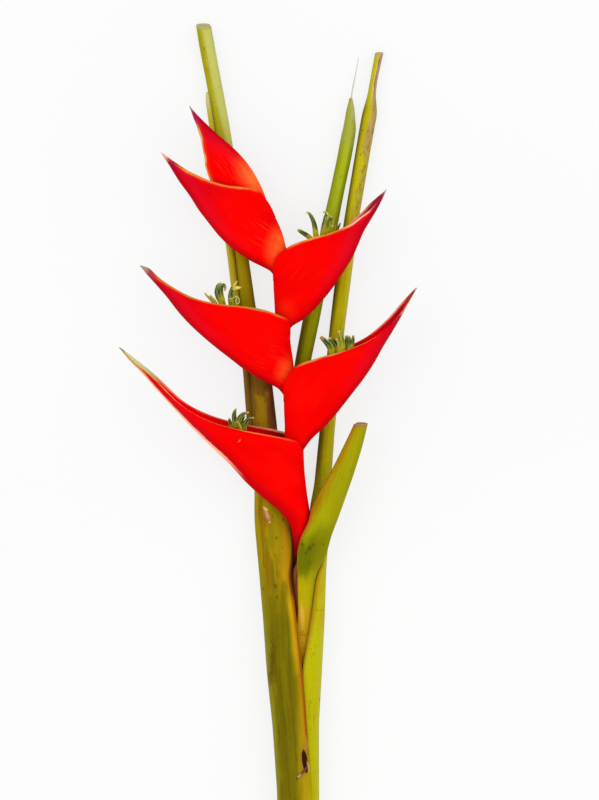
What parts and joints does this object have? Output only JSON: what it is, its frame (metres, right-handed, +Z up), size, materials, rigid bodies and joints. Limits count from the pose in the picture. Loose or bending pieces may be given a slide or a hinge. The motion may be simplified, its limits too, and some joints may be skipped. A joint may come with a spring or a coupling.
{
  "type": "heliconia flower",
  "caption": "Cut heliconia stem lying on its back: red boat bracts in two ranks on a flower stalk that leaves a sheathed false stem with cut leaf stalks",
  "frame": {"origin": "bottom centre of the bounding box: the middle of the footprint, on the surface that the stem lies on", "axes": "+Y runs along the stem from the cut end to the tips of the leaf stalks and is the longest extent; +Z is up, away from the surface, and is the shortest extent; +X is to the right of somebody who looks down on the flower"},
  "size_m": [0.1938, 0.5441, 0.0425],
  "materials": {
    "leaf_left": "fresh green stalk, satin",
    "leaf_left_inner": "withered green stalk, satin",
    "leaf_front": "fresh yellow-green stalk, satin",
    "leaf_right": "fresh yellow stalk, satin",
    "leaf_right_inner": "fresh green stalk, satin",
    "axis": "fresh red stalk, satin",
    "bract": "waxy red bract, satin",
    "flowers": "green flower tips, satin"
  },
  "bodies": {
    "root": {"leaf_left": "leaf_left", "leaf_left_inner": "leaf_left_inner", "leaf_front": "leaf_front", "leaf_right": "leaf_right", "leaf_right_inner": "leaf_right_inner", "axis": "axis", "bract_1": "bract", "bract_2": "bract", "bract_3": "bract", "bract_4": "bract", "bract_5": "bract", "bract_6": "bract", "flowers_1": "flowers", "flowers_2": "flowers", "flowers_3": "flowers", "flowers_4": "flowers"}
  },
  "joints": []
}
